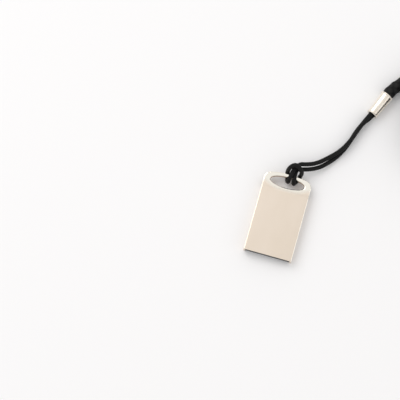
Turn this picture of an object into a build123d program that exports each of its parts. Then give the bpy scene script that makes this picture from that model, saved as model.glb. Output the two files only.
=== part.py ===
from build123d import *
import math
import os

# All sizes in millimetres. The drive lies on its back: contacts down, satin face up (+Z),
# plug end towards -Y, eyelet towards +Y. Heights are measured up from the table, and lengths
# along Y are measured from the plug end until everything is shifted to the origin at export.

# ---- shell -------------------------------------------------------------------------------
body_width = 12.2            # fits a type A socket
body_length = 21.3           # plug end to the crown of the eyelet
body_thickness = 2.6
side_wall = 0.45
face_plate = 0.35            # metal over the module
rear_wall = 0.45             # closes the cavity towards the eyelet
crown_radius = 20.0          # shallow arc across the eyelet end
corner_radius = 1.9          # where the crown meets the long sides
face_edge_round = 0.28       # polished edge round the face
eyelet_drop = 0.15           # eyelet plate lies this far below the satin face
eyelet_thickness = 1.15
roll_off_length = 1.3        # where the face rolls down to the eyelet plate
eyelet_half_width = 4.35
eyelet_half_height = 1.35
eyelet_bar_width = 1.0       # metal left between the hole and the crown
eyelet_web = 0.75            # between the hole and the thick part of the body
eyelet_edge_round = 0.3

# ---- memory module (chip on board) and what glues it in ------------------------------------
module_clearance = 0.05      # each side and at the rear of the cavity
module_setback = 0.10        # module end behind the shell's plug end
contact_recess = 0.20        # contacts above the shell's rims
contact_thickness = 0.03
board_thickness = 0.26
shell_adhesive_thickness = 0.08
spacer_thickness = 0.50
module_adhesive_thickness = 0.05
spacer_end_round = 0.8

contact_pitch_inner = 2.0
contact_pitch_outer = 7.0
contact_inner_width = 1.4
contact_outer_width = 1.8
contact_inner_length = 7.0
contact_outer_length = 8.2
contact_outer_setback = 0.9
contact_inner_setback = 2.1
contact_corner_round = 0.2
test_pad_radius = 0.4
test_pad_pitch = 1.6
test_pad_rows = 2
test_pad_columns = 5
test_pad_first_y = 11.6

film_thickness = 0.03
memory_die_width = 8.2
memory_die_length = 8.8
memory_die_thickness = 0.16
memory_die_rear_gap = 1.0    # from the module's rear end
memory_die_step = 0.45       # upper die set back to bare the lower one's pads
controller_width = 3.0
controller_length = 2.4
controller_thickness = 0.2
controller_x = -1.6
controller_y = 3.0
capacitor_size = (1.0, 0.5, 0.5)
capacitor_count = 4
capacitor_pitch = 1.5
capacitor_y = 1.2
resistor_size = (0.6, 0.3, 0.25)
resistor_count = 4
resistor_pitch = 0.9
resistor_x = 2.2
resistor_y = 2.4
wire_radius = 0.02
wire_count_memory = 12
wire_count_controller = 6
wire_span = 0.55
wire_loop_height = 0.16
wire_inset = 0.12            # from a die's edge to where its wires are bonded

# ---- lanyard ---------------------------------------------------------------------------------
thin_cord_radius = 0.55
wrist_cord_radius = 1.55
floor_gap = 0.01             # cords lie this far above the table
ferrule_mouth = (15.90, 42.10, 1.48)      # centre of the thin cord's end
ferrule_far_end = (18.35, 47.88, 1.76)    # centre of the plaited cord's end
ferrule_wall = 0.18
ferrule_bead_radius = 0.14
ferrule_far_lip = 0.05       # ferrule's far end stands this far proud of the plaited cord
cord_insertion = 1.0         # thin cord ends inside the ferrule
strand_gap = 0.01            # between the two strands in the ferrule's mouth
strand_lean = 60.0           # the strands' line in the mouth, degrees up from across
strand_clearance = 0.035     # from the strands to the mouth's wall

# The thin cord's route: from the ferrule down one strand, round the eyelet bar, across as the
# hitch's bar, round the eyelet bar again and back up the other strand to the ferrule.
strand_right = [
    (14.43, 39.70, 0.64),
    (13.16, 36.88, 0.57),
    (12.42, 33.93, 0.57),
    (11.05, 30.47, 0.58),
    (9.02, 27.56, 0.78),
    (6.38, 25.01, 1.50),
    (3.40, 23.44, 2.62),
    (1.50, 22.80, 3.16),
]
hitch = [
    (1.55, 19.25, 3.22),
    (1.70, 19.25, 0.56),
    (2.74, 22.05, 0.56),
    (2.98, 22.10, 4.30),
    (0.85, 22.50, 4.42),
    (-1.15, 22.10, 4.30),
    (-0.85, 22.05, 0.56),
    (-0.25, 19.40, 0.56),
    (0.10, 19.40, 3.22),
]
strand_left = [
    (0.05, 22.90, 3.18),
    (1.30, 23.95, 3.00),
    (2.75, 24.50, 2.68),
    (5.62, 25.99, 1.75),
    (8.18, 28.24, 1.15),
    (10.35, 30.93, 1.40),
    (12.08, 34.07, 1.66),
    (13.04, 36.92, 1.72),
    (14.07, 39.90, 1.80),
]

# The plaited cord's route: straight out of the ferrule, then along the table to the collar.
wrist_cord_exit = 1.5        # first run, along the ferrule's axis
wrist_route = [
    (20.50, 51.35, 1.79),
    (23.60, 54.75, 1.80),
    (29.00, 59.35, 1.805),
]
coil_centre = (43.2, 48.0)
coil_outer_turn = 17.6
coil_inner_turn = 14.0
coil_layer_gap = 0.05        # between the two layers of turns
coil_start_angle = 126.9     # where the route meets the coil's outer turn, degrees from +X
coil_edge_round = 1.3
collar_length = 5.0
collar_wall = 0.25
collar_web = 0.15            # between the two cords in the collar
collar_end_stop = 0.4        # cord end stops short of the collar's far face


def box_between(low, high):
    """Block between its lowest and its highest corner."""
    size = [high[i] - low[i] for i in range(3)]
    centre = [(high[i] + low[i]) / 2 for i in range(3)]
    return Pos(*centre) * Box(*size)


def level_box(width, length, bottom, top, front, x=0.0):
    """Block centred across X at x, starting at front along Y, between two heights."""
    return box_between((x - width / 2, front, bottom), (x + width / 2, front + length, top))


# ---- heights and places that several pieces share ---------------------------------------------
cavity_top = body_thickness - face_plate
eyelet_y = body_length - eyelet_bar_width - eyelet_half_height
cavity_end = eyelet_y - eyelet_half_height - eyelet_web
cavity_length = cavity_end - rear_wall
spacer_top = cavity_top - shell_adhesive_thickness
spacer_bottom = spacer_top - spacer_thickness
cap_top = spacer_bottom - module_adhesive_thickness
board_bottom = contact_recess + contact_thickness
board_top = board_bottom + board_thickness
module_width = body_width - 2 * side_wall - 2 * module_clearance
module_length = cavity_length - module_setback - module_clearance
eyelet_top = body_thickness - eyelet_drop
eyelet_bottom = eyelet_top - eyelet_thickness
memory_front = module_setback + module_length - memory_die_rear_gap - memory_die_length

strand_step = thin_cord_radius + strand_gap / 2
ferrule_mouth_radius = strand_step + thin_cord_radius + strand_clearance + ferrule_wall
ferrule_far_radius = wrist_cord_radius + ferrule_far_lip
coil_layer_step = 2 * wrist_cord_radius + coil_layer_gap
collar_channel_step = 2 * wrist_cord_radius + collar_web
collar_height = floor_gap + collar_wall + wrist_cord_radius


# ---- shell -------------------------------------------------------------------------------------
def shell_outline():
    """Plan of the shell: straight sides, square plug end, shallow crown at the eyelet."""
    strip = Pos(0, body_length / 2) * Rectangle(body_width, body_length)
    crown = Pos(0, body_length - crown_radius) * Circle(crown_radius)
    plan = strip & crown
    corners = plan.vertices().sort_by(Axis.Y)[-2:]
    return fillet(corners, corner_radius)


def side_profile():
    """Side view of the metal: full body, roll-off, and the thinner eyelet plate."""
    roll_start = cavity_end - roll_off_length / 2
    roll_end = roll_start + roll_off_length
    roll_middle = (roll_start + roll_end) / 2
    mid_height = (body_thickness + eyelet_top) / 2
    with BuildSketch(Plane.YZ) as profile:
        with BuildLine():
            lower = Polyline(
                (roll_end, eyelet_top), (body_length, eyelet_top), (body_length, eyelet_bottom),
                (cavity_end, eyelet_bottom), (cavity_end, 0), (0, 0), (0, body_thickness),
                (roll_start, body_thickness),
            )
            upper = TangentArc(lower @ 1, (roll_middle, mid_height), tangent=(1, 0))
            TangentArc(upper @ 1, lower @ 0, tangent=upper % 1)
        make_face()
    return profile.sketch


def is_across(edge):
    """True for an edge that runs straight across the shell."""
    size = edge.bounding_box().size
    return size.Y < 0.01 and size.Z < 0.01


def metal_shell():
    """Shell with its cavity, eyelet hole and polished edges."""
    plan = extrude(shell_outline(), body_thickness)
    side = extrude(side_profile(), body_width, both=True)
    shell = plan & side
    hole = Pos(0, eyelet_y, eyelet_bottom) * Ellipse(eyelet_half_width, eyelet_half_height)
    shell -= extrude(hole, eyelet_thickness + eyelet_drop, both=True)
    mid_height = (eyelet_top + eyelet_bottom) / 2
    upper_edges = [
        edge for edge in shell.edges()
        if edge.bounding_box().min.Z > mid_height and not is_across(edge)
    ]
    shell = fillet(upper_edges, face_edge_round)
    lower_edges = [
        edge for edge in shell.edges()
        if abs(edge.center().Z - eyelet_bottom) < 0.01 and edge.center().Y > cavity_end + 0.01
    ]
    shell = fillet(lower_edges, eyelet_edge_round)
    cavity_width = body_width - 2 * side_wall
    shell -= level_box(cavity_width, cavity_length + 1, -1, cavity_top, -1)
    return shell


# ---- module ------------------------------------------------------------------------------------
def module_layer(bottom, top):
    """Layer of the module's plan size between two heights."""
    return level_box(module_width, module_length, bottom, top, module_setback)


def plastic_spacer():
    """Spacer plate with its rear corners rounded."""
    plate = module_layer(spacer_bottom, spacer_top)
    rear_edges = plate.edges().filter_by(Axis.Z).sort_by(Axis.Y)[-2:]
    return fillet(rear_edges, spacer_end_round)


def contact(x, width, length, setback):
    """Gold contact on the board's underside, at x across the plug."""
    pad = level_box(width, length, contact_recess, board_bottom, module_setback + setback, x)
    return fillet(pad.edges().filter_by(Axis.Z), contact_corner_round)


def test_pads():
    """Round factory pads in a grid behind the contacts."""
    pads = []
    for row in range(test_pad_rows):
        for column in range(test_pad_columns):
            x = (column - (test_pad_columns - 1) / 2) * test_pad_pitch
            y = test_pad_first_y + row * test_pad_pitch
            height = (contact_recess + board_bottom) / 2
            pads.append(Pos(x, y, height) * Cylinder(test_pad_radius, contact_thickness))
    return pads


def die_stack():
    """Memory dies and controller, each on its film: name -> block."""
    lower_film_top = board_top + film_thickness
    lower_top = lower_film_top + memory_die_thickness
    upper_film_top = lower_top + film_thickness
    upper_top = upper_film_top + memory_die_thickness
    upper_front = memory_front + memory_die_step
    upper_length = memory_die_length - memory_die_step
    controller_front = controller_y - controller_length / 2
    controller_top = lower_film_top + controller_thickness
    width = memory_die_width
    plan = (controller_width, controller_length)
    place = (controller_front, controller_x)
    return {
        "die_film_lower": level_box(width, memory_die_length, board_top, lower_film_top, memory_front),
        "memory_die_lower": level_box(width, memory_die_length, lower_film_top, lower_top, memory_front),
        "die_film_upper": level_box(width, upper_length, lower_top, upper_film_top, upper_front),
        "memory_die_upper": level_box(width, upper_length, upper_film_top, upper_top, upper_front),
        "controller_film": level_box(*plan, board_top, lower_film_top, *place),
        "controller_die": level_box(*plan, lower_film_top, controller_top, *place),
    }


def chip_row(size, count, pitch, first_x, y):
    """Row of chip parts soldered on the board, along X."""
    width, length, height = size
    return [
        level_box(width, length, board_top, board_top + height, y, first_x + index * pitch)
        for index in range(count)
    ]


def bond_wire(start, end):
    """Arched gold wire from a die's pad to the board."""
    rise = Vector(0, 0, wire_loop_height)
    middle = (Vector(*start) + Vector(*end)) / 2 + rise
    arch = ThreePointArc(start, middle, end)
    section = Plane(origin=arch @ 0, z_dir=arch % 0) * Circle(wire_radius)
    return sweep(section, path=arch)


def bond_wires():
    """Wires from the memory stack's front edge and from the controller's rear edge."""
    wires = []
    lower_top = board_top + film_thickness + memory_die_thickness
    spacing = memory_die_width / wire_count_memory
    for index in range(wire_count_memory):
        x = (index - (wire_count_memory - 1) / 2) * spacing
        start = (x, memory_front + wire_inset, lower_top + wire_radius)
        end = (x, memory_front - wire_span, board_top + wire_radius)
        wires.append(bond_wire(start, end))
    controller_top = board_top + film_thickness + controller_thickness
    controller_rear = controller_y + controller_length / 2
    spacing = controller_width / wire_count_controller
    for index in range(wire_count_controller):
        x = controller_x + (index - (wire_count_controller - 1) / 2) * spacing
        start = (x, controller_rear - wire_inset, controller_top + wire_radius)
        end = (x, controller_rear + wire_span, board_top + wire_radius)
        wires.append(bond_wire(start, end))
    return wires


def mould_cap(embedded):
    """Moulded cap over the board, closed round everything embedded in it."""
    cap = module_layer(board_top, cap_top)
    for piece in embedded:
        cap -= piece
    return cap


# ---- lanyard -------------------------------------------------------------------------------------
def corner_radii(points):
    """Radius at each corner of a route: as large as its two runs leave room for."""
    share = 0.45
    radii = []
    for before, corner, after in zip(points, points[1:], points[2:]):
        run_in = Vector(*corner) - Vector(*before)
        run_out = Vector(*after) - Vector(*corner)
        half_turn = math.radians(run_in.get_angle(run_out)) / 2
        shorter = min(run_in.length, run_out.length)
        radii.append(share * shorter / math.tan(half_turn))
    return radii


def cord_tube(name, points, radius):
    """Round cord along straight runs joined by tangent arcs."""
    radii = corner_radii(points)
    path = FilletPolyline(*points, radius=radii)
    print(name, "length", round(path.length, 2), "radii", [round(r, 2) for r in radii])
    section = Plane(origin=path @ 0, z_dir=path % 0) * Circle(radius)
    tube = sweep(section, path=path)
    expected = math.pi * radius ** 2 * path.length
    print(name, "volume over section times length", round(tube.volume / expected, 4))
    return tube


def ferrule_axis():
    """Unit vector from the ferrule's mouth to its far end, and its length."""
    span = Vector(*ferrule_far_end) - Vector(*ferrule_mouth)
    return span.normalized(), span.length


def strand_ends(side):
    """Two points of a strand that lies in the ferrule: its end, and just outside the mouth."""
    axis, _ = ferrule_axis()
    across = axis.cross(Vector(0, 0, 1)).normalized()
    upward = across.cross(axis)
    lean = math.radians(strand_lean)
    offset = (across * math.cos(lean) - upward * math.sin(lean)) * (side * strand_step)
    inside = Vector(*ferrule_mouth) + axis * cord_insertion + offset
    outside = Vector(*ferrule_mouth) - axis * cord_insertion + offset
    return tuple(inside), tuple(outside)


def thin_cord():
    """Thin cord from one strand's end in the ferrule to the other's."""
    right_end, right_mouth = strand_ends(1)
    left_end, left_mouth = strand_ends(-1)
    route = [right_end, right_mouth] + strand_right + hitch + strand_left + [left_mouth, left_end]
    return cord_tube("lanyard_thin_cord", route, thin_cord_radius)


def ferrule_place():
    """Plane at the ferrule's mouth, looking along its axis."""
    axis, _ = ferrule_axis()
    return Plane(origin=ferrule_mouth, z_dir=axis)


def ferrule_cone(inset, start, stop):
    """Part of the ferrule's tapered shape, this far inside its outer surface."""
    _, length = ferrule_axis()
    slope = (ferrule_far_radius - ferrule_mouth_radius) / length
    first = ferrule_mouth_radius + slope * start - inset
    last = ferrule_mouth_radius + slope * stop - inset
    return Pos(0, 0, (start + stop) / 2) * Cone(first, last, stop - start)


def lanyard_ferrule():
    """Tapered crimp ferrule with a rolled rim at each end."""
    _, length = ferrule_axis()
    bead = ferrule_bead_radius
    body = ferrule_cone(0, 0, length)
    near_rim = Pos(0, 0, bead) * Torus(ferrule_mouth_radius, bead)
    far_rim = Pos(0, 0, length - bead) * Torus(ferrule_far_radius, bead)
    body = body + near_rim + far_rim - ferrule_cone(ferrule_wall, 0, length)
    return ferrule_place() * body


def ferrule_core():
    """Glue and crushed cord that fill the ferrule behind the thin cord's ends."""
    _, length = ferrule_axis()
    return ferrule_place() * ferrule_cone(ferrule_wall, cord_insertion, length)


def coil_start():
    """Point where the plaited cord meets the coil's outer turn, in the collar."""
    angle = math.radians(coil_start_angle)
    x = coil_centre[0] + coil_outer_turn * math.cos(angle)
    y = coil_centre[1] + coil_outer_turn * math.sin(angle)
    return Vector(x, y, collar_height)


def coil_heading():
    """Unit vector along the cord where it passes through the collar."""
    angle = math.radians(coil_start_angle - 90)
    return Vector(math.cos(angle), math.sin(angle), 0)


def wrist_cord():
    """Plaited cord from the ferrule, along the table and through the collar."""
    axis, _ = ferrule_axis()
    exit_point = Vector(*ferrule_far_end) + axis * wrist_cord_exit
    end = coil_start() + coil_heading() * (collar_length / 2)
    route = [ferrule_far_end, tuple(exit_point)] + wrist_route + [tuple(end)]
    return cord_tube("wrist_cord", route, wrist_cord_radius)


def wrist_cord_end():
    """Last stretch of the plaited cord, crimped in the collar above the first."""
    rise = Vector(0, 0, collar_channel_step)
    start = coil_start() - coil_heading() * (collar_length / 2) + rise
    length = collar_length - collar_end_stop
    section = Plane(origin=start, z_dir=coil_heading()) * Circle(wrist_cord_radius)
    return extrude(section, length)


def collar_block():
    """Upright oval block round both cords, as long as the collar."""
    middle = coil_start() + Vector(0, 0, collar_channel_step / 2)
    plane = Plane(origin=middle, x_dir=(0, 0, 1), z_dir=coil_heading())
    outer_radius = wrist_cord_radius + collar_wall
    oval = plane * SlotCenterToCenter(collar_channel_step, 2 * outer_radius)
    return extrude(oval, collar_length / 2, both=True)


def loop_collar(first_cord, last_cord):
    """Crimp collar that holds the loop's end to its start."""
    return collar_block() - first_cord - last_cord


def wrist_cord_coil(first_cord):
    """Outer shape of the coiled turns, cut where the collar and the first run lie."""
    inner = coil_inner_turn - wrist_cord_radius
    outer = coil_outer_turn + wrist_cord_radius
    height = coil_layer_step + 2 * wrist_cord_radius
    place = Pos(coil_centre[0], coil_centre[1], floor_gap + height / 2)
    ring = Cylinder(outer, height) - Cylinder(inner, height)
    ring = fillet(ring.edges().filter_by(GeomType.CIRCLE), coil_edge_round)
    coil = place * ring
    return coil - collar_block() - first_cord


# ---- assembly ------------------------------------------------------------------------------------
def build_nodes():
    """Every sub-part at its place: name -> list of solids."""
    contact_x_inner = contact_pitch_inner / 2
    contact_x_outer = contact_pitch_outer / 2
    outer_contact = (contact_outer_width, contact_outer_length, contact_outer_setback)
    inner_contact = (contact_inner_width, contact_inner_length, contact_inner_setback)
    dies = die_stack()
    first_capacitor = -(capacitor_count - 1) / 2 * capacitor_pitch
    capacitors = chip_row(capacitor_size, capacitor_count, capacitor_pitch, first_capacitor, capacitor_y)
    resistors = chip_row(resistor_size, resistor_count, resistor_pitch, resistor_x, resistor_y)
    wires = bond_wires()
    embedded = list(dies.values()) + capacitors + resistors + wires
    first_cord = wrist_cord()
    last_cord = wrist_cord_end()
    nodes = {
        "metal_shell": [metal_shell()],
        "shell_adhesive": [module_layer(spacer_top, cavity_top)],
        "plastic_spacer": [plastic_spacer()],
        "module_adhesive": [module_layer(cap_top, spacer_bottom)],
        "circuit_board": [module_layer(board_bottom, board_top)],
        "mould_cap": [mould_cap(embedded)],
        "capacitors": capacitors,
        "resistors": resistors,
        "bond_wires": wires,
        "contact_power": [contact(contact_x_outer, *outer_contact)],
        "contact_data_minus": [contact(contact_x_inner, *inner_contact)],
        "contact_data_plus": [contact(-contact_x_inner, *inner_contact)],
        "contact_ground": [contact(-contact_x_outer, *outer_contact)],
        "test_pads": test_pads(),
        "lanyard_thin_cord": [thin_cord()],
        "lanyard_ferrule": [lanyard_ferrule()],
        "ferrule_core": [ferrule_core()],
        "wrist_cord": [first_cord],
        "wrist_cord_coil": [wrist_cord_coil(first_cord)],
        "wrist_cord_end": [last_cord],
        "loop_collar": [loop_collar(first_cord, last_cord)],
    }
    for name, block in dies.items():
        nodes[name] = [block]
    return nodes


def export_nodes(nodes):
    """Write one STEP file per node, with the origin below the middle of the drive."""
    os.makedirs("parts", exist_ok=True)
    to_origin = Pos(0, -body_length / 2, 0)
    for name, pieces in nodes.items():
        placed = [to_origin * piece for piece in pieces]
        solids = [solid for piece in placed for solid in piece.solids()]
        export_step(Compound(children=solids) if len(solids) > 1 else solids[0], f"parts/{name}.step")


export_nodes(build_nodes())
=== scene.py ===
"""Finish of a slim all-metal flash drive and its wrist lanyard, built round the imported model.

The drive lies face up at the origin with its eyelet towards +Y. Everything is in metres.
"""

import logging
import math
from dataclasses import dataclass
from enum import Enum
from typing import ClassVar, Dict, List, Optional, Sequence, Tuple, Union

import bpy
import numpy as np
from mathutils import Matrix, Vector


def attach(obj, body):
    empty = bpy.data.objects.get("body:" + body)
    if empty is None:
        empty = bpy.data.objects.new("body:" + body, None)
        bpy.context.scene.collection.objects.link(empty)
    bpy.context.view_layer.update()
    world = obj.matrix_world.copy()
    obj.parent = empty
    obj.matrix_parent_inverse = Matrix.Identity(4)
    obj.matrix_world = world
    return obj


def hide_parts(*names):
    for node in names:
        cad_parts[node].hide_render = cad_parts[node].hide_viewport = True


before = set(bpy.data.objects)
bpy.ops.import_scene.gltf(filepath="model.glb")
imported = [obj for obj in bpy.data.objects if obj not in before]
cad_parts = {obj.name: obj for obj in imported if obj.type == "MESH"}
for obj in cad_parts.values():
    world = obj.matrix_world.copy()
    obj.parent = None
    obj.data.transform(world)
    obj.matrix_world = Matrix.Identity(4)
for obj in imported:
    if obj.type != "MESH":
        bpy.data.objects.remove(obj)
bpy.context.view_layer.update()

LOG = logging.getLogger("flash_drive")

Point = Tuple[float, float, float]
Colour = Tuple[float, float, float]
Range = Tuple[float, float]
MM = 0.001
UP = np.array((0.0, 0.0, 1.0))


class Body(Enum):
    """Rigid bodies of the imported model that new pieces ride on."""

    LANYARD = "lanyard"


class Slot(Enum):
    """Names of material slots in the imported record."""

    THIN_CORD = "thin_cord_nylon"
    PLAIT = "plaited_nylon"
    BRIGHT_METAL = "bright_metal"


# ---------------------------------------------------------------------------------------------
# Routes: control points of the two cords' smooth lines
# ---------------------------------------------------------------------------------------------

THIN_CORD_ROUTE: List[Point] = [
    (0.01655, 0.03228, 0.00104),
    (0.01577, 0.03044, 0.00096),
    (0.01443, 0.02905, 0.00064),
    (0.01316, 0.02623, 0.00057),
    (0.01242, 0.02328, 0.00057),
    (0.01105, 0.01982, 0.00058),
    (0.00902, 0.01691, 0.00078),
    (0.00642, 0.01424, 0.00132),
    (0.00334, 0.01270, 0.00252),
    (0.00114, 0.01222, 0.00296),
    (0.00148, 0.00870, 0.00340),
    (0.00160, 0.00865, 0.00056),
    (0.00280, 0.01140, 0.00056),
    (0.00280, 0.01155, 0.00470),
    (0.00095, 0.01280, 0.00545),
    (-0.00042, 0.01180, 0.00495),
    (-0.00078, 0.01140, 0.00056),
    (-0.00005, 0.00875, 0.00056),
    (0.00018, 0.00880, 0.00342),
    (0.00066, 0.01193, 0.00418),
    (0.00185, 0.01355, 0.00362),
    (0.00312, 0.01390, 0.00305),
    (0.00568, 0.01512, 0.00208),
    (0.00826, 0.01753, 0.00160),
    (0.01072, 0.02007, 0.00168),
    (0.01242, 0.02323, 0.00170),
    (0.01334, 0.02605, 0.00174),
    (0.01448, 0.02901, 0.00184),
    (0.01525, 0.03062, 0.00192),
    (0.01603, 0.03246, 0.00200),
]

WRIST_LEAD_ROUTE: List[Point] = [
    (0.01835, 0.03723, 0.00176),
    (0.01893, 0.03861, 0.00183),
    (0.02050, 0.04070, 0.00179),
    (0.02360, 0.04410, 0.00180),
    (0.02900, 0.04870, 0.00180),
]


# ---------------------------------------------------------------------------------------------
# Surfaces
# ---------------------------------------------------------------------------------------------

def wrapped_faces(rows: int, columns: int, close_rows: bool) -> np.ndarray:
    """Quads of a grid whose columns close on themselves, facing outwards.

    Each quad joins a vertex to the next one round, to the one after it in the next row, and
    back. The last row joins the first when the rows close too.

    Args:
        rows: number of vertex rows.
        columns: number of vertices in a row.
        close_rows: True when the last row is joined to the first.

    Returns:
        Vertex numbers, four to a face.
    """
    last = rows if close_rows else rows - 1
    row, column = np.meshgrid(np.arange(last), np.arange(columns), indexing="ij")
    next_row, next_column = (row + 1) % rows, (column + 1) % columns
    quads = np.stack([
        row * columns + column,
        row * columns + next_column,
        next_row * columns + next_column,
        next_row * columns + column,
    ], axis=-1)
    return quads.reshape(-1, 4)


def make_piece(name: str, grid: np.ndarray, close_rows: bool) -> bpy.types.Object:
    """Object from a grid of points, its ends closed by a pole where its rows don't close.

    Args:
        name: the piece's name.
        grid: points as rows, columns, three coordinates.
        close_rows: True for a surface like a ring, closed both ways.

    Returns:
        The new object, smooth shaded, at the origin.
    """
    rows, columns = grid.shape[:2]
    points = grid.reshape(-1, 3)
    quads = wrapped_faces(rows, columns, close_rows)
    faces: List[List[int]] = quads.tolist()
    if not close_rows:
        start_pole, end_pole = len(points), len(points) + 1
        points = np.concatenate([points, [grid[0].mean(axis=0)], [grid[-1].mean(axis=0)]])
        ring = np.arange(columns)
        after = (ring + 1) % columns
        end_row = (rows - 1) * columns
        start_fan = np.stack([np.full(columns, start_pole), after, ring], axis=-1)
        end_fan = np.stack([np.full(columns, end_pole), end_row + ring, end_row + after], axis=-1)
        faces += start_fan.tolist() + end_fan.tolist()
    mesh = bpy.data.meshes.new(name)
    mesh.from_pydata(points.tolist(), [], faces)
    mesh.polygons.foreach_set("use_smooth", np.ones(len(mesh.polygons), dtype=bool))
    mesh.update()
    piece = bpy.data.objects.new(name, mesh)
    bpy.context.scene.collection.objects.link(piece)
    return piece


def rounded_section(length: float, thickness: float, radius: float, steps: int) -> np.ndarray:
    """Closed outline of a long rounded rectangle.

    Each corner is a quarter circle, and each long side is divided evenly.

    Args:
        length: size along the first coordinate.
        thickness: size along the second coordinate.
        radius: corner radius.
        steps: divisions of each long side.

    Returns:
        Points as rows of two coordinates, anticlockwise, without a repeated last point.
    """
    angle = np.linspace(0, math.pi / 2, 6)
    corner = radius * np.stack([np.cos(angle), np.sin(angle)], axis=-1)
    half_length, half_thickness = length / 2 - radius, thickness / 2 - radius
    side = np.linspace(half_length, -half_length, steps + 1)[1:-1]
    top = np.stack([side, np.full_like(side, thickness / 2)], axis=-1)
    first = corner + (half_length, half_thickness)
    second = corner[:, ::-1] * (-1, 1)
    second = second + (-half_length, half_thickness)
    upper = np.concatenate([first, top, second])
    return np.concatenate([upper, -upper])


# ---------------------------------------------------------------------------------------------
# Smooth lines
# ---------------------------------------------------------------------------------------------

@dataclass
class SmoothLine:
    """A cord's centreline, with a frame at each point that turns as little as it can."""

    DRAWN_PER_SPAN: ClassVar[int] = 40
    SAME_POINT: ClassVar[float] = 1e-9

    points: np.ndarray
    sides: np.ndarray
    ups: np.ndarray
    length: float

    @classmethod
    def through(cls, name: str, route: Sequence[Point], spacing: float) -> "SmoothLine":
        """Line of a quadratic NURBS spline with the route's points as its control points.

        Args:
            name: name for the passing curve.
            route: control points.
            spacing: distance wanted between the line's points.

        Returns:
            The line, with its points evenly spaced.
        """
        curve = bpy.data.curves.new(name, "CURVE")
        curve.dimensions = "3D"
        curve.resolution_u = cls.DRAWN_PER_SPAN
        spline = curve.splines.new("NURBS")
        spline.points.add(len(route) - 1)
        control = np.concatenate([np.array(route), np.ones((len(route), 1))], axis=1)
        spline.points.foreach_set("co", control.ravel())
        spline.order_u = 3
        spline.use_endpoint_u = True
        holder = bpy.data.objects.new(name, curve)
        bpy.context.scene.collection.objects.link(holder)
        bpy.context.view_layer.update()
        mesh = bpy.data.meshes.new_from_object(holder)
        drawn = np.empty(len(mesh.vertices) * 3)
        mesh.vertices.foreach_get("co", drawn)
        bpy.data.objects.remove(holder)
        bpy.data.curves.remove(curve)
        bpy.data.meshes.remove(mesh)
        return cls.spaced(drawn.reshape(-1, 3), spacing)

    @classmethod
    def spaced(cls, drawn: np.ndarray, spacing: float) -> "SmoothLine":
        """Line with evenly spaced points along a drawn one.

        Args:
            drawn: points in order.
            spacing: distance wanted between points.

        Returns:
            The line and its frames.
        """
        steps = np.linalg.norm(np.diff(drawn, axis=0), axis=1)
        drawn = drawn[np.concatenate([[True], steps > cls.SAME_POINT])]
        steps = np.linalg.norm(np.diff(drawn, axis=0), axis=1)
        travelled = np.concatenate([[0.0], np.cumsum(steps)])
        count = int(round(travelled[-1] / spacing)) + 1
        wanted = np.linspace(0, travelled[-1], count)
        points = np.stack([np.interp(wanted, travelled, drawn[:, i]) for i in range(3)], axis=-1)
        tangents = np.gradient(points, axis=0)
        tangents /= np.linalg.norm(tangents, axis=1, keepdims=True)
        sides = cls.carried_sides(tangents)
        return cls(points, sides, np.cross(tangents, sides), float(travelled[-1]))

    @staticmethod
    def carried_sides(tangents: np.ndarray) -> np.ndarray:
        """Side vectors, each the one before it with its part along the new tangent removed.

        Args:
            tangents: unit vectors along the line.

        Returns:
            Unit vectors square to the tangents.
        """
        side = np.cross(tangents[0], UP)
        sides = []
        for tangent in tangents:
            side = side - tangent * side.dot(tangent)
            side = side / np.linalg.norm(side)
            sides.append(side)
        return np.array(sides)


# ---------------------------------------------------------------------------------------------
# Finishes
# ---------------------------------------------------------------------------------------------

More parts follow.
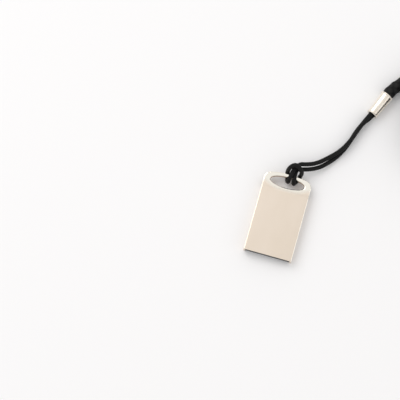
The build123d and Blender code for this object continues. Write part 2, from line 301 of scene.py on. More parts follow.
class NodeTree:
    """One material's nodes, round a single principled shader."""

    def __init__(self, name: str) -> None:
        """Start a material with an empty tree and its shader.

        Args:
            name: the material's name.
        """
        self.material = bpy.data.materials.new(name)
        self.material.use_nodes = True
        self.tree = self.material.node_tree
        self.tree.nodes.clear()
        output = self.tree.nodes.new("ShaderNodeOutputMaterial")
        self.shader = self.tree.nodes.new("ShaderNodeBsdfPrincipled")
        self.tree.links.new(self.shader.outputs["BSDF"], output.inputs["Surface"])
        self.coordinates = self.tree.nodes.new("ShaderNodeTexCoord")

    def link(self, source: bpy.types.NodeSocket, target: bpy.types.NodeSocket) -> None:
        """Join an output to an input."""
        self.tree.links.new(source, target)

    def feed(self, source: bpy.types.NodeSocket, name: str) -> None:
        """Join an output to the shader's input of that name."""
        self.link(source, self.shader.inputs[name])

    def fix(self, **values: float) -> None:
        """Set plain numbers on the shader, with underscores for the spaces in their names.

        Args:
            values: numbers by the names of the shader's inputs.
        """
        for name, value in values.items():
            self.shader.inputs[name.replace("_", " ")].default_value = value

    def place(self, scale: Point) -> bpy.types.NodeSocket:
        """Object coordinates, stretched along each axis.

        Args:
            scale: factor along each axis.

        Returns:
            The stretched coordinates.
        """
        mapping = self.tree.nodes.new("ShaderNodeMapping")
        mapping.inputs["Scale"].default_value = scale
        self.link(self.coordinates.outputs["Object"], mapping.inputs["Vector"])
        return mapping.outputs["Vector"]

    def noise(self, scale: Point, detail: float = 4.0, rough: float = 0.55) -> bpy.types.NodeSocket:
        """Cloudy pattern.

        Args:
            scale: patches to a metre along each axis.
            detail: number of finer layers.
            rough: strength of the finer layers.

        Returns:
            The pattern, from 0 to 1.
        """
        texture = self.tree.nodes.new("ShaderNodeTexNoise")
        texture.inputs["Scale"].default_value = 1.0
        texture.inputs["Detail"].default_value = detail
        texture.inputs["Roughness"].default_value = rough
        self.link(self.place(scale), texture.inputs["Vector"])
        return texture.outputs["Fac"]

    def attribute(self, name: str, part: str) -> bpy.types.NodeSocket:
        """One part of a vector that the piece's mesh carries.

        Args:
            name: the mesh attribute.
            part: X, Y or Z.

        Returns:
            That part.
        """
        source = self.tree.nodes.new("ShaderNodeAttribute")
        source.attribute_name = name
        split = self.tree.nodes.new("ShaderNodeSeparateXYZ")
        self.link(source.outputs["Vector"], split.inputs["Vector"])
        return split.outputs[part]

    def part_of(self, output: str, part: str) -> bpy.types.NodeSocket:
        """One part of a texture coordinate.

        Args:
            output: the coordinate, such as Object or Normal.
            part: X, Y or Z.

        Returns:
            That part.
        """
        split = self.tree.nodes.new("ShaderNodeSeparateXYZ")
        self.link(self.coordinates.outputs[output], split.inputs["Vector"])
        return split.outputs[part]

    def spread(self, source: bpy.types.NodeSocket, from_low: float, from_high: float,
               to_low: float, to_high: float) -> bpy.types.NodeSocket:
        """Source carried from one range of values to another, smoothly and clamped.

        Args:
            source: what is carried.
            from_low: value that becomes to_low.
            from_high: value that becomes to_high.
            to_low: result at the low end.
            to_high: result at the high end.

        Returns:
            The carried value.
        """
        node = self.tree.nodes.new("ShaderNodeMapRange")
        node.interpolation_type = "SMOOTHSTEP"
        limits = (from_low, from_high, to_low, to_high)
        for name, value in zip(("From Min", "From Max", "To Min", "To Max"), limits):
            node.inputs[name].default_value = value
        self.link(source, node.inputs["Value"])
        return node.outputs["Result"]

    def combine(self, operation: str, first: bpy.types.NodeSocket,
                second: bpy.types.NodeSocket) -> bpy.types.NodeSocket:
        """Two values put together.

        Args:
            operation: name of the operation, such as MAXIMUM or MULTIPLY.
            first: one value.
            second: the other value.

        Returns:
            The result.
        """
        node = self.tree.nodes.new("ShaderNodeMath")
        node.operation = operation
        self.link(first, node.inputs[0])
        self.link(second, node.inputs[1])
        return node.outputs["Value"]

    def between(self, amount: bpy.types.NodeSocket, low: Union[Colour, bpy.types.NodeSocket],
                high: Union[Colour, bpy.types.NodeSocket]) -> bpy.types.NodeSocket:
        """Colour between two others, each a plain colour or another node's output.

        Args:
            amount: 0 gives the first colour and 1 the second.
            low: first colour.
            high: second colour.

        Returns:
            The mixed colour.
        """
        node = self.tree.nodes.new("ShaderNodeMix")
        node.data_type = "RGBA"
        self.link(amount, node.inputs["Factor"])
        colour_inputs = [socket for socket in node.inputs if socket.type == "RGBA"]
        for socket, value in zip(colour_inputs, (low, high)):
            if isinstance(value, bpy.types.NodeSocket):
                self.link(value, socket)
            else:
                socket.default_value = (*value, 1.0)
        return next(socket for socket in node.outputs if socket.type == "RGBA")

    def bump(self, height: bpy.types.NodeSocket, strength: float, depth: float,
             under: Optional[bpy.types.NodeSocket] = None) -> bpy.types.NodeSocket:
        """Normal that follows a height.

        Args:
            height: 0 to 1.
            strength: how much of the effect shows.
            depth: what a height of 1 stands for, in metres.
            under: normal from an earlier bump, to be added to.

        Returns:
            The bent normal.
        """
        node = self.tree.nodes.new("ShaderNodeBump")
        node.inputs["Strength"].default_value = strength
        node.inputs["Distance"].default_value = depth
        self.link(height, node.inputs["Height"])
        if under is not None:
            self.link(under, node.inputs["Normal"])
        return node.outputs["Normal"]


@dataclass(frozen=True)
class MouldedPlastic:
    """Matt or glossy plastic, resin or glue with a fine texture and slight colour drift."""

    name: str
    colour: Colour
    drift: Colour
    roughness: float
    grain: float = 9000.0
    texture_depth: float = 4e-6
    specular: float = 0.5
    cloud_share: float = 0.12
    roughness_share: Range = (0.85, 1.12)

    def material(self) -> bpy.types.Material:
        """Build the finish's nodes.

        Returns:
            The material.
        """
        tree = NodeTree(self.name)
        clouds = tree.noise((self.grain * self.cloud_share,) * 3)
        grain = tree.noise((self.grain,) * 3, detail=3.0)
        tree.feed(tree.between(tree.spread(clouds, 0.35, 0.65, 0, 1), self.colour, self.drift),
                  "Base Color")
        smooth, rough = (self.roughness * share for share in self.roughness_share)
        tree.feed(tree.spread(grain, 0.3, 0.7, smooth, rough), "Roughness")
        tree.feed(tree.bump(grain, 0.5, self.texture_depth), "Normal")
        tree.fix(Specular_IOR_Level=self.specular)
        return tree.material


@dataclass(frozen=True)
class PolishedMetal:
    """Plated or solid metal, polished, with faint marks and rubbed patches."""

    name: str
    colour: Colour
    rubbed: Colour
    roughness: float
    mark_depth: float = 0.6e-6
    patches_per_metre: float = 480.0
    marks_per_metre: Point = (9600.0, 1080.0, 9600.0)

    def material(self) -> bpy.types.Material:
        """Build the finish's nodes.

        Returns:
            The material.
        """
        tree = NodeTree(self.name)
        patches = tree.noise((self.patches_per_metre,) * 3)
        marks = tree.noise(self.marks_per_metre, detail=5.0)
        tree.feed(tree.between(tree.spread(patches, 0.35, 0.7, 0, 1), self.colour, self.rubbed),
                  "Base Color")
        tree.feed(tree.spread(marks, 0.3, 0.75, self.roughness, self.roughness * 2.0), "Roughness")
        tree.feed(tree.bump(marks, 0.35, self.mark_depth), "Normal")
        tree.fix(Metallic=1.0)
        return tree.material


@dataclass(frozen=True)
class SatinShell:
    """Satin nickel face with polished edges, eyelet and hole.

    The satin lines run along the drive. The steep part of the rounded edges, and everything
    from the roll-off to the top of the eyelet, are smoother, with a lighter, whiter colour that
    is painted highlight. The hole's wall has a darker, warmer colour that is painted shade.
    """

    name: str
    satin: Colour
    satin_drift: Colour
    # Lighter, whiter colour painted on the edges and eyelet as highlight.
    polished: Colour
    # Darker, warmer colour painted on the hole's wall as shade.
    hole_wall_shade_colour: Colour
    roll_off_start: float
    roll_off_end: float
    hole_middle: float
    hole_half_width: float
    hole_half_height: float
    bow: float = 1.4 * MM
    bow_span: float = 6.1 * MM
    satin_lines_per_metre: Point = (26000.0, 380.0, 9000.0)
    drift_per_metre: Point = (160.0, 90.0, 160.0)
    line_depth: float = 1.2e-6
    satin_roughness: Range = (0.30, 0.44)
    polished_roughness: Range = (0.07, 0.15)
    edge_top: Range = (0.855, 0.89)
    edge_foot: Range = (0.1, 0.35)
    wall_reach: Range = (1.06, 1.16)
    wall_tilt: Range = (0.3, 0.8)

    def material(self) -> bpy.types.Material:
        """Build the finish's nodes.

        Returns:
            The material.
        """
        tree = NodeTree(self.name)
        along = self.bowed_length(tree)
        upward = tree.part_of("Normal", "Z")
        turned = tree.combine("MULTIPLY", tree.spread(upward, *self.edge_top, 1, 0),
                              tree.spread(upward, *self.edge_foot, 0, 1))
        eyelet = tree.spread(along, self.roll_off_start, self.roll_off_end, 0, 1)
        # Smoother finish on the edges and eyelet, which also carry the painted highlight colour.
        polish_and_highlight = tree.combine("MAXIMUM", turned, eyelet)
        lines = tree.noise(self.satin_lines_per_metre, detail=5.0, rough=0.6)
        drift = tree.noise(self.drift_per_metre, detail=2.0)
        satin = tree.between(tree.spread(drift, 0.3, 0.7, 0, 1), self.satin, self.satin_drift)
        # Painted highlight: the lighter colour on the edges and eyelet.
        metal = tree.between(polish_and_highlight, satin, self.polished)
        # Painted shade: the darker colour on the hole's wall.
        tree.feed(tree.between(self.hole_wall_shade_mask(tree, upward), metal, self.hole_wall_shade_colour), "Base Color")
        satin_rough = tree.spread(lines, 0.25, 0.75, *self.satin_roughness)
        polished_rough = tree.spread(lines, 0.25, 0.75, *self.polished_roughness)
        keep = tree.spread(polish_and_highlight, 0, 1, 1, 0)
        rough = tree.combine("ADD", tree.combine("MULTIPLY", satin_rough, keep),
                             tree.combine("MULTIPLY", polished_rough, polish_and_highlight))
        tree.feed(rough, "Roughness")
        scratch = tree.combine("MULTIPLY", lines, keep)
        tree.feed(tree.bump(scratch, 0.25, self.line_depth), "Normal")
        tree.fix(Metallic=1.0)
        return tree.material

    def bowed_length(self, tree: NodeTree) -> bpy.types.NodeSocket:
        """Distance along the drive, less a bow that grows with the square of the distance across.

        Args:
            tree: the material's nodes.

        Returns:
            The bowed distance, which a line level with the hole's edge follows.
        """
        across = tree.part_of("Object", "X")
        square = tree.combine("MULTIPLY", across, across)
        scaled = tree.spread(square, 0.0, self.bow_span ** 2, 0.0, -self.bow)
        return tree.combine("ADD", tree.part_of("Object", "Y"), scaled)

    def hole_wall_shade_mask(self, tree: NodeTree, upward: bpy.types.NodeSocket) -> bpy.types.NodeSocket:
        """Mask of the hole's upright wall, where shade is painted: near its ellipse, and turned
        away from straight up.

        Args:
            tree: the material's nodes.
            upward: how far the surface faces up.

        Returns:
            1 on the wall and 0 elsewhere.
        """
        mapping = tree.tree.nodes.new("ShaderNodeMapping")
        mapping.vector_type = "TEXTURE"
        mapping.inputs["Location"].default_value = (0.0, self.hole_middle, 0.0)
        mapping.inputs["Scale"].default_value = (self.hole_half_width, self.hole_half_height, 1e3)
        tree.link(tree.coordinates.outputs["Object"], mapping.inputs["Vector"])
        reach = tree.tree.nodes.new("ShaderNodeVectorMath")
        reach.operation = "LENGTH"
        tree.link(mapping.outputs["Vector"], reach.inputs[0])
        near = tree.spread(reach.outputs["Value"], *self.wall_reach, 1, 0)
        upright = tree.spread(upward, *self.wall_tilt, 1, 0)
        return tree.combine("MULTIPLY", near, upright)


@dataclass(frozen=True)
class BlackYarn:
    """Black nylon yarn: filaments run along each yarn of the plait, and its crowns are lighter,
    partly rubbed wear and partly painted highlight.
    """

    name: str
    colour: Colour
    crown: Colour
    filaments: float
    roughness: float
    fuzz_per_metre: float = 14000.0
    filament_depth: float = 14e-6
    fuzz_depth: float = 8e-6

    def material(self) -> bpy.types.Material:
        """Build the finish's nodes.

        Returns:
            The material.
        """
        tree = NodeTree(self.name)
        across = tree.attribute(PlaitedCord.YARN, "X")
        height = tree.attribute(PlaitedCord.YARN, "Z")
        wave = tree.tree.nodes.new("ShaderNodeMath")
        wave.operation = "SINE"
        count = tree.tree.nodes.new("ShaderNodeMath")
        count.operation = "MULTIPLY"
        count.inputs[1].default_value = self.filaments * 2 * math.pi
        tree.link(across, count.inputs[0])
        tree.link(count.outputs["Value"], wave.inputs[0])
        ridges = tree.spread(wave.outputs["Value"], -1, 1, 0, 1)
        fuzz = tree.noise((self.fuzz_per_metre,) * 3, detail=3.0)
        # Lighter colour on the yarns' crowns: partly rubbed wear, partly painted highlight.
        on_crown = tree.spread(height, 0.55, 1.0, 0, 1)
        wear_and_highlight = tree.combine("MULTIPLY", on_crown, tree.spread(fuzz, 0.3, 0.7, 0.3, 1))
        tree.feed(tree.between(wear_and_highlight, self.colour, self.crown), "Base Color")
        tree.feed(tree.spread(fuzz, 0.3, 0.7, self.roughness * 0.85, self.roughness * 1.1),
                  "Roughness")
        coarse = tree.bump(ridges, 0.6, self.filament_depth)
        tree.feed(tree.bump(fuzz, 0.5, self.fuzz_depth, coarse), "Normal")
        tree.fix(Sheen_Weight=0.03, Sheen_Roughness=0.45, Specular_IOR_Level=0.16)
        return tree.material


# ---------------------------------------------------------------------------------------------
# Lanyard
# ---------------------------------------------------------------------------------------------

@dataclass
class PlaitedCord:
    """Round plaited cord: two families of yarns that wind opposite ways and cross over."""

    YARN: ClassVar[str] = "yarn"
    DOME_SHARE: ClassVar[float] = 0.55
    RIDE_SHARE: ClassVar[float] = 0.45

    name: str
    radius: float
    yarns: int
    crossing_length: float
    relief: float
    steps: int

    def spacing(self) -> float:
        """Distance between rows of vertices, so that yarn edges run through vertices."""
        return self.crossing_length / self.steps

    def build(self, line: SmoothLine) -> bpy.types.Object:
        """Tube round a line whose radius follows the yarns.

        A vertex at angle a round the cord and distance s along it has two phases, the number
        of yarns times the turn a, plus and minus s over the crossing length. The part of a
        phase past a whole number is the place across that yarn, which is round: the root of
        one less the square of twice the place less one. The yarn rides up or down by the sine
        of half a turn times the other phase's part, and up where the two whole numbers add
        up to an even one. The higher yarn is what shows.

        Args:
            line: the cord's centreline.

        Returns:
            The cord, with its yarn coordinates as a vector on each vertex.
        """
        columns = self.yarns * self.steps
        rows = len(line.points)
        turn = np.arange(columns) / columns
        travelled = np.linspace(0, line.length, rows) / self.crossing_length
        plus = self.yarns * turn[None, :] + travelled[:, None]
        minus = self.yarns * turn[None, :] - travelled[:, None]
        height_plus, across_plus = self.family(plus, minus, 1.0)
        height_minus, across_minus = self.family(minus, plus, -1.0)
        height = np.maximum(height_plus, height_minus)
        plus_on_top = height_plus >= height_minus
        reach = self.radius - self.relief * (1.0 - height)
        angle = 2 * math.pi * turn
        outward = (np.cos(angle)[None, :, None] * line.sides[:, None, :]
                   + np.sin(angle)[None, :, None] * line.ups[:, None, :])
        grid = line.points[:, None, :] + reach[:, :, None] * outward
        cord = make_piece(self.name, grid, close_rows=False)
        yarn = np.stack([
            np.where(plus_on_top, across_plus, across_minus),
            np.where(plus_on_top, minus, plus),
            height,
        ], axis=-1).reshape(-1, 3)
        yarn = np.concatenate([yarn, np.zeros((2, 3))])
        store = cord.data.attributes.new(self.YARN, "FLOAT_VECTOR", "POINT")
        store.data.foreach_set("vector", yarn.ravel())
        return cord

    @staticmethod
    def family(own: np.ndarray, other: np.ndarray, sign: float) -> Tuple[np.ndarray, np.ndarray]:
        """Height and place across the yarns of one family.

        Args:
            own: the family's phase.
            other: the other family's phase.
            sign: 1 for the family that is on top where the whole numbers add up to even.

        Returns:
            Height from 0 to 1 at its crown, and the place across from 0 to 1.
        """
        tiny = 1e-6
        own_whole, other_whole = np.floor(own + tiny), np.floor(other + tiny)
        across = np.clip(own - own_whole, 0, 1)
        along = np.clip(other - other_whole, 0, 1)
        dome = np.sqrt(np.clip(1 - (2 * across - 1) ** 2, 0, 1))
        over = np.where((own_whole + other_whole) % 2 == 0, sign, -sign)
        ride = over * np.sin(math.pi * along)
        return PlaitedCord.DOME_SHARE * dome + PlaitedCord.RIDE_SHARE * ride, across


@dataclass
class Ferrule:
    """Tapered crimp ferrule with a rolled rim at each end."""

    mouth: Point = (0.01590, 0.03145, 0.00148)
    far_end: Point = (0.01835, 0.03723, 0.00176)
    mouth_radius: float = 1.32 * MM
    far_radius: float = 1.60 * MM
    wall: float = 0.18 * MM
    bead: float = 0.14 * MM
    bead_end: float = 0.12 * math.pi
    bead_reach: float = 2.1
    swell: float = 0.012 * MM
    columns: int = 96

    def axis(self) -> Tuple[np.ndarray, float]:
        """Direction and length of the ferrule.

        Returns:
            The unit vector from the mouth to the far end, and the distance between them.
        """
        span = np.array(self.far_end) - np.array(self.mouth)
        length = float(np.linalg.norm(span))
        return span / length, length

    def profile(self, length: float) -> np.ndarray:
        """Closed outline of the wall, as distances along and out from the axis.

        The outside is a straight taper with a bead at each end: three quarters of a circle
        that meets the wall. A slight swell in the middle takes the crimp's spring-back. The
        inside is the same taper, one wall further in.

        Args:
            length: mouth to far end.

        Returns:
            Points as rows of distance along and radius.
        """
        sweep = np.linspace(math.pi, self.bead_end, 16)
        near = np.stack([self.bead * (1 + np.cos(sweep)),
                         self.mouth_radius + self.bead * np.sin(sweep)], axis=-1)
        far = np.stack([length - self.bead * (1 + np.cos(sweep)),
                        self.far_radius + self.bead * np.sin(sweep)], axis=-1)[::-1]
        edge = self.bead_reach * self.bead
        along = np.linspace(edge, length - edge, 30)
        share = along / length
        swell = self.swell * np.sin(math.pi * share)
        outside = np.stack([along, self.taper(share) + swell], axis=-1)
        inner_share = np.linspace(1, 0, 12)
        inside = np.stack([inner_share * length, self.taper(inner_share) - self.wall], axis=-1)
        return np.concatenate([near, outside, far, inside])

    def taper(self, share: np.ndarray) -> np.ndarray:
        """Outer radius at a share of the length."""
        return self.mouth_radius + (self.far_radius - self.mouth_radius) * share

    def build(self) -> bpy.types.Object:
        """Carry the wall's outline round the axis.

        Returns:
            The ferrule.
        """
        axis, length = self.axis()
        across = np.cross(axis, UP)
        across /= np.linalg.norm(across)
        upward = np.cross(across, axis)
        outline = self.profile(length)
        angle = np.arange(self.columns) * 2 * math.pi / self.columns
        outward = np.cos(angle)[:, None] * upward + np.sin(angle)[:, None] * across
        grid = (np.array(self.mouth) + outline[:, None, :1] * axis
                + outline[:, None, 1:] * outward[None, :, :])
        return make_piece("ferrule_shell", grid, close_rows=True)


@dataclass
class LoopCollar:
    """Crimped collar round the start and the end of the wrist loop."""

    middle: Point
    heading: Point
    channel_step: float = 3.25 * MM
    cord_radius: float = 1.55 * MM
    wall: float = 0.25 * MM
    length: float = 5.0 * MM
    groove_depth: float = 0.07 * MM
    groove_place: float = 1.3 * MM
    groove_width: float = 0.35 * MM
    waist: float = 0.55 * MM
    corner: float = 0.1 * MM
    length_steps: int = 40
    arc_points: int = 33
    side_steps: int = 18

    def build(self) -> bpy.types.Object:
        """Carry the wall's section round an upright oval.

        The oval is two half circles a channel step apart, joined by sides that are pinched
        between the cords by the square of a cosine of the height. Its outer face has two
        pressed grooves, each a bell curve of the distance along the collar.

        Returns:
            The collar.
        """
        heading = np.array(self.heading)
        side = np.cross(heading, UP)
        section = rounded_section(self.length, self.wall, self.corner, self.length_steps)
        along, out = section[:, 0], section[:, 1]
        offset = (np.abs(along) - self.groove_place) / self.groove_width
        out = out - self.groove_depth * np.exp(-offset ** 2) * (out > 0.4 * self.wall)
        arc = np.linspace(0, math.pi, self.arc_points)
        ones = np.ones(self.arc_points)
        straight = np.linspace(1, -1, self.side_steps + 1)[1:-1]
        level = np.ones_like(straight) * math.pi
        half_step = self.channel_step / 2
        angle = np.concatenate([arc, level, arc + math.pi, 2 * level])
        lift = np.concatenate([ones, straight, -ones, -straight]) * half_step
        outward = np.cos(angle)[:, None] * side + np.sin(angle)[:, None] * UP
        rise = np.concatenate([ones, straight, ones, straight])
        pinch = self.waist * np.cos(math.pi * rise / 2) ** 2
        wall_middle = self.cord_radius + self.wall / 2 - pinch[:, None, None]
        centre = np.array(self.middle) + lift[:, None] * UP
        grid = (centre[:, None, :] + outward[:, None, :] * (wall_middle + out[None, :, None])
                + along[None, :, None] * heading)
        return make_piece("crimped_collar", grid[:, ::-1], close_rows=True)


@dataclass
class WristLoop:
    """Route of the wrist cord: its lead, three turns of coil, and its end in the collar."""

    centre: Tuple[float, float] = (0.0432, 0.03735)
    outer: float = 17.6 * MM
    inner: float = 14.0 * MM
    low: float = 1.57 * MM
    high: float = 4.71 * MM
    collar_low: float = 1.81 * MM
    collar_high: float = 5.06 * MM
    start_angle: float = 126.9
    turns: int = 3
    points_per_turn: int = 24
    end_reach: float = 2.1 * MM
    move_in: Range = (0.55, 0.95)
    climb: Range = (1.3, 1.6)
    move_out: Range = (2.0, 2.35)
    settle: float = 0.12

    def start(self) -> np.ndarray:
        """Middle of the collar's lower channel.

        Returns:
            The point where the coil starts.
        """
        angle = math.radians(self.start_angle)
        return np.array((self.centre[0] + self.outer * math.cos(angle),
                         self.centre[1] + self.outer * math.sin(angle), self.collar_low))

    def heading(self) -> np.ndarray:
        """Unit vector along the cord in the collar."""
        angle = math.radians(self.start_angle - 90)
        return np.array((math.cos(angle), math.sin(angle), 0.0))

    @staticmethod
    def ease(value: np.ndarray, start: float, stop: float) -> np.ndarray:
        """0 before start and 1 after stop, and smooth between: three squares less two cubes."""
        share = np.clip((value - start) / (stop - start), 0, 1)
        return share ** 2 * (3 - 2 * share)

    def route(self) -> List[Point]:
        """Control points of the whole cord.

        The turns run clockwise. The first eases in from the outer ring to the inner one, the
        second climbs to the upper layer, and the third eases out again above the first.

        Returns:
            The lead's points, the coil's, and two in the collar's upper channel.
        """
        start, heading = self.start(), self.heading()
        turn = np.arange(1, self.turns * self.points_per_turn) / self.points_per_turn
        inward = self.ease(turn, *self.move_in) - self.ease(turn, *self.move_out)
        radius = self.outer + (self.inner - self.outer) * inward
        radius = radius / math.cos(math.pi / self.points_per_turn)
        height = self.low + (self.high - self.low) * self.ease(turn, *self.climb)
        height += (self.collar_low - self.low) * (1 - self.ease(turn, 0.0, self.settle))
        leaving = self.ease(turn, self.turns - self.settle, self.turns)
        height += (self.collar_high - self.high) * leaving
        angle = math.radians(self.start_angle) - 2 * math.pi * turn
        coil = np.stack([self.centre[0] + radius * np.cos(angle),
                         self.centre[1] + radius * np.sin(angle), height], axis=-1)
        top = start + (0.0, 0.0, self.collar_high - self.collar_low)
        rows = np.concatenate([np.array(WRIST_LEAD_ROUTE), [start], coil, [top],
                               [top + heading * self.end_reach]])
        return [tuple(row) for row in rows.tolist()]


@dataclass
class Lanyard:
    """Thin cord, ferrule, plaited wrist cord and collar."""

    thin: PlaitedCord
    wrist: PlaitedCord
    ferrule: Ferrule
    loop: WristLoop
    thin_length: float = 0.079
    wrist_length: float = 0.320

    def build(self) -> Dict[str, bpy.types.Object]:
        """Make every piece of the lanyard and put it in its node's stead.

        Returns:
            The pieces by name.
        """
        thin_line = SmoothLine.through("thin_cord_line", THIN_CORD_ROUTE, self.thin.spacing())
        wrist_line = SmoothLine.through("wrist_cord_line", self.loop.route(), self.wrist.spacing())
        start, heading = self.loop.start(), self.loop.heading()
        middle = start + (0.0, 0.0, (self.loop.collar_high - self.loop.collar_low) / 2)
        pieces = {
            "thin": self.thin.build(thin_line),
            "wrist": self.wrist.build(wrist_line),
            "ferrule": self.ferrule.build(),
            "collar": LoopCollar(tuple(middle), tuple(heading)).build(),
        }
        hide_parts("lanyard_thin_cord")
        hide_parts("wrist_cord", "wrist_cord_coil", "wrist_cord_end")
        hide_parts("lanyard_ferrule")
        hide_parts("loop_collar")
        for piece in pieces.values():
            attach(piece, Body.LANYARD.value)
        LOG.info("thin cord line %.1f mm, wrist cord line %.1f mm",
                 thin_line.length / MM, wrist_line.length / MM)
        return pieces

    def dress(self, pieces: Dict[str, bpy.types.Object]) -> None:
        """Give each piece its finish.

        Args:
            pieces: what build returned.
        """
        # Crown colours: rubbed wear and painted highlight on the tops of the yarns.
        fine = BlackYarn("fine_black_yarn", colour=(0.006, 0.006, 0.006),
                         crown=(0.014, 0.013, 0.013), filaments=3.0, roughness=0.68)
        coarse = BlackYarn("coarse_black_yarn", colour=(0.005, 0.005, 0.005),
                           crown=(0.020, 0.019, 0.018), filaments=7.0, roughness=0.62)
        nickel = PolishedMetal("polished_nickel", colour=(0.95, 0.89, 0.80),
                               rubbed=(0.90, 0.82, 0.71), roughness=0.19)
        wear(pieces["thin"], fine.material())
        wear(pieces["wrist"], coarse.material())
        bright = nickel.material()
        wear(pieces["ferrule"], bright)
        wear(pieces["collar"], bright)
        core = MouldedPlastic("ferrule_glue", colour=(0.02, 0.018, 0.016),
                              drift=(0.035, 0.03, 0.025), roughness=0.35)
        dress_node("ferrule_core", core.material())


def wear(piece: bpy.types.Object, material: bpy.types.Material) -> None:
    """Put a material on a new piece.

    Args:
        piece: the new piece.
        material: its finish.
    """
    piece.data.materials.append(material)


def dress_node(name: str, material: bpy.types.Material) -> None:
    """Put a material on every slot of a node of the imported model.

    Args:
        name: the node's name.
        material: its finish.
    """
    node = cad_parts[name]
    if not node.material_slots:
        node.data.materials.append(material)
    for slot in node.material_slots:
        slot.material = material
    LOG.info("dressed %s with %s", name, material.name)


# ---------------------------------------------------------------------------------------------
# Drive
# ---------------------------------------------------------------------------------------------

@dataclass
class Drive:
    """The metal shell and the memory module in it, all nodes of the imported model."""

    shell: SatinShell

    def dress(self) -> None:
        """Give every node of the drive its finish."""
        dress_node("metal_shell", self.shell.material())
        for finish, nodes in self.module_finishes():
            material = finish.material()
            for name in nodes:
                dress_node(name, material)

    @staticmethod
    def module_finishes() -> List[Tuple[Union[MouldedPlastic, PolishedMetal], Sequence[str]]]:
        """Finishes of the module's nodes, each as its colour, second colour and roughness.

        Returns:
            Each finish with the nodes that have it.
        """
        return [
            (MouldedPlastic("black_spacer", (0.014, 0.013, 0.013), (0.020, 0.019, 0.018), 0.45),
             ("plastic_spacer",)),
            (MouldedPlastic("grey_adhesive", (0.10, 0.09, 0.08), (0.14, 0.13, 0.11), 0.55),
             ("shell_adhesive", "module_adhesive")),
            (MouldedPlastic("black_solder_mask", (0.012, 0.013, 0.014), (0.020, 0.021, 0.022), 0.22,
                            texture_depth=1.5e-6), ("circuit_board",)),
            (MouldedPlastic("black_mould_compound", (0.013, 0.012, 0.012),
                            (0.022, 0.021, 0.020), 0.5, grain=14000.0, texture_depth=6e-6),
             ("mould_cap",)),
            (MouldedPlastic("blue_grey_silicon", (0.16, 0.17, 0.21), (0.22, 0.22, 0.26), 0.16,
                            texture_depth=5e-7), ("memory_die_lower", "memory_die_upper",
                                                  "controller_die")),
            (MouldedPlastic("amber_die_film", (0.45, 0.25, 0.08), (0.55, 0.32, 0.11), 0.4),
             ("die_film_lower", "die_film_upper", "controller_film")),
            (MouldedPlastic("tan_ceramic", (0.42, 0.30, 0.19), (0.50, 0.37, 0.25), 0.35),
             ("capacitors",)),
            (MouldedPlastic("dark_ceramic", (0.03, 0.03, 0.035), (0.06, 0.06, 0.065), 0.35),
             ("resistors",)),
            (PolishedMetal("contact_gold", (0.94, 0.70, 0.33), (0.86, 0.62, 0.28), 0.14),
             ("contact_power", "contact_data_minus", "contact_data_plus", "contact_ground",
              "test_pads")),
            (PolishedMetal("bond_gold", (0.96, 0.74, 0.36), (0.90, 0.66, 0.30), 0.10),
             ("bond_wires",)),
        ]


# ---------------------------------------------------------------------------------------------
# Studio
# ---------------------------------------------------------------------------------------------

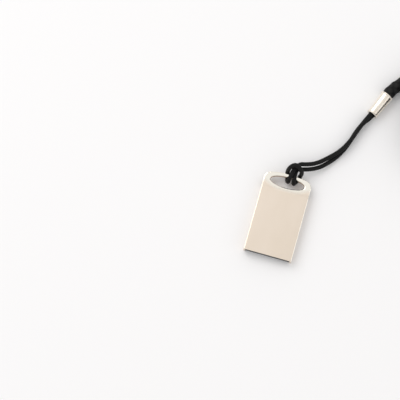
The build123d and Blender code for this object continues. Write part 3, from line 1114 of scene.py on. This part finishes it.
@dataclass
class Studio:
    """Floor, soft light and camera."""

    target: Point = (-0.019879, -0.001372, 0.0)
    elevation: float = 78.0
    turn: float = 15.898
    distance: float = 0.350
    lens: float = 125.9
    world_strength: float = 0.755
    overhead_distance: float = 0.95
    overhead_size: float = 0.75
    overhead_radiance: float = 0.12
    key_place: Point = (-0.42, 0.40, 0.62)
    key_size: float = 0.60
    key_power: float = 2.6
    fill_place: Point = (0.60, -0.10, 0.36)
    fill_size: float = 0.34
    fill_power: float = 0.30
    floor_half: float = 2.0
    floor_colour: Colour = (0.93, 0.925, 0.93)

    def ground_directions(self) -> Tuple[np.ndarray, np.ndarray]:
        """The camera's directions laid on the floor.

        Returns:
            Unit vectors to its right and away from it.
        """
        angle = math.radians(self.turn)
        right = np.array((math.cos(angle), math.sin(angle), 0.0))
        away = np.array((-math.sin(angle), math.cos(angle), 0.0))
        return right, away

    def build(self) -> None:
        """Make the camera, floor, world and lights."""
        self.camera()
        self.floor()
        self.world()
        right, away = self.ground_directions()
        tilt = math.radians(self.elevation)
        mirror = away * math.cos(tilt) + UP * math.sin(tilt)
        overhead_power = self.overhead_radiance * math.pi * self.overhead_size ** 2
        self.panel("overhead_panel", mirror * self.overhead_distance, self.overhead_size,
                   overhead_power, (1.0, 0.985, 0.965))
        directions = np.stack([right, away, UP])
        self.panel("key_panel", np.array(self.key_place) @ directions, self.key_size,
                   self.key_power, (1.0, 0.99, 0.98))
        self.panel("fill_panel", np.array(self.fill_place) @ directions, self.fill_size,
                   self.fill_power, (1.0, 0.97, 0.94))

    def camera(self) -> None:
        """Camera at its measured height, looking at the target."""
        right, away = self.ground_directions()
        tilt = math.radians(self.elevation)
        back = -away * math.cos(tilt) + UP * math.sin(tilt)
        top = away * math.sin(tilt) + UP * math.cos(tilt)
        place = np.array(self.target) + back * self.distance
        data = bpy.data.cameras.new("camera")
        data.sensor_width = 36.0
        data.lens = self.lens
        data.clip_start = 0.01
        camera = bpy.data.objects.new("camera", data)
        bpy.context.scene.collection.objects.link(camera)
        columns = np.stack([right, top, back], axis=1)
        matrix = Matrix(columns.tolist()).to_4x4()
        matrix.translation = Vector(place.tolist())
        camera.matrix_world = matrix
        bpy.context.scene.camera = camera

    def floor(self) -> None:
        """Pale plain floor."""
        half = self.floor_half
        mesh = bpy.data.meshes.new("floor")
        corners = [(-half, -half, 0), (half, -half, 0), (half, half, 0), (-half, half, 0)]
        mesh.from_pydata(corners, [], [(0, 1, 2, 3)])
        floor = bpy.data.objects.new("floor", mesh)
        bpy.context.scene.collection.objects.link(floor)
        tree = NodeTree("pale_floor")
        tree.shader.inputs["Base Color"].default_value = (*self.floor_colour, 1.0)
        tree.fix(Roughness=0.9, Specular_IOR_Level=0.1)
        mesh.materials.append(tree.material)

    def world(self) -> None:
        """Even white surroundings."""
        world = bpy.data.worlds.new("studio")
        world.use_nodes = True
        background = world.node_tree.nodes["Background"]
        background.inputs["Color"].default_value = (1.0, 0.995, 0.99, 1.0)
        background.inputs["Strength"].default_value = self.world_strength
        bpy.context.scene.world = world
        bpy.context.scene.view_settings.view_transform = "Standard"

    @staticmethod
    def panel(name: str, place: np.ndarray, size: float, power: float, colour: Colour) -> None:
        """Square soft light that faces the origin.

        Args:
            name: the light's name.
            place: its middle.
            size: its side.
            power: in watts.
            colour: its tint.
        """
        data = bpy.data.lights.new(name, "AREA")
        data.shape = "SQUARE"
        data.size = size
        data.energy = power
        data.color = colour
        light = bpy.data.objects.new(name, data)
        bpy.context.scene.collection.objects.link(light)
        light.location = place.tolist()
        light.rotation_mode = "QUATERNION"
        light.rotation_quaternion = Vector((-place).tolist()).to_track_quat("-Z", "Y")


def main() -> None:
    """Build the studio, the lanyard and the drive."""
    Studio().build()
    LOG.info("studio ready")
    lanyard = Lanyard(
        thin=PlaitedCord("fine_cord", radius=0.55 * MM, yarns=6, crossing_length=0.55 * MM,
                         relief=0.05 * MM, steps=6),
        wrist=PlaitedCord("plaited_cord", radius=1.55 * MM, yarns=4, crossing_length=2.1 * MM,
                          relief=0.30 * MM, steps=10),
        ferrule=Ferrule(),
        loop=WristLoop(),
    )
    pieces = lanyard.build()
    lanyard.dress(pieces)
    for piece in pieces.values():
        LOG.info("%s: %d faces", piece.name, len(piece.data.polygons))
    shell = SatinShell(
        "satin_nickel_shell",
        satin=(0.825, 0.725, 0.62),
        satin_drift=(0.80, 0.70, 0.59),
        # Painted highlight colour for the edges and eyelet.
        polished=(1.0, 0.965, 0.875),
        # Painted shade colour for the hole's wall.
        hole_wall_shade_colour=(0.52, 0.33, 0.20),
        roll_off_start=5.5 * MM,
        roll_off_end=7.0 * MM,
        hole_middle=8.30 * MM,
        hole_half_width=4.35 * MM,
        hole_half_height=1.35 * MM,
    )
    Drive(shell).dress()


if __name__ == "__main__":
    logging.basicConfig(level=logging.INFO, format="%(message)s")
    main()
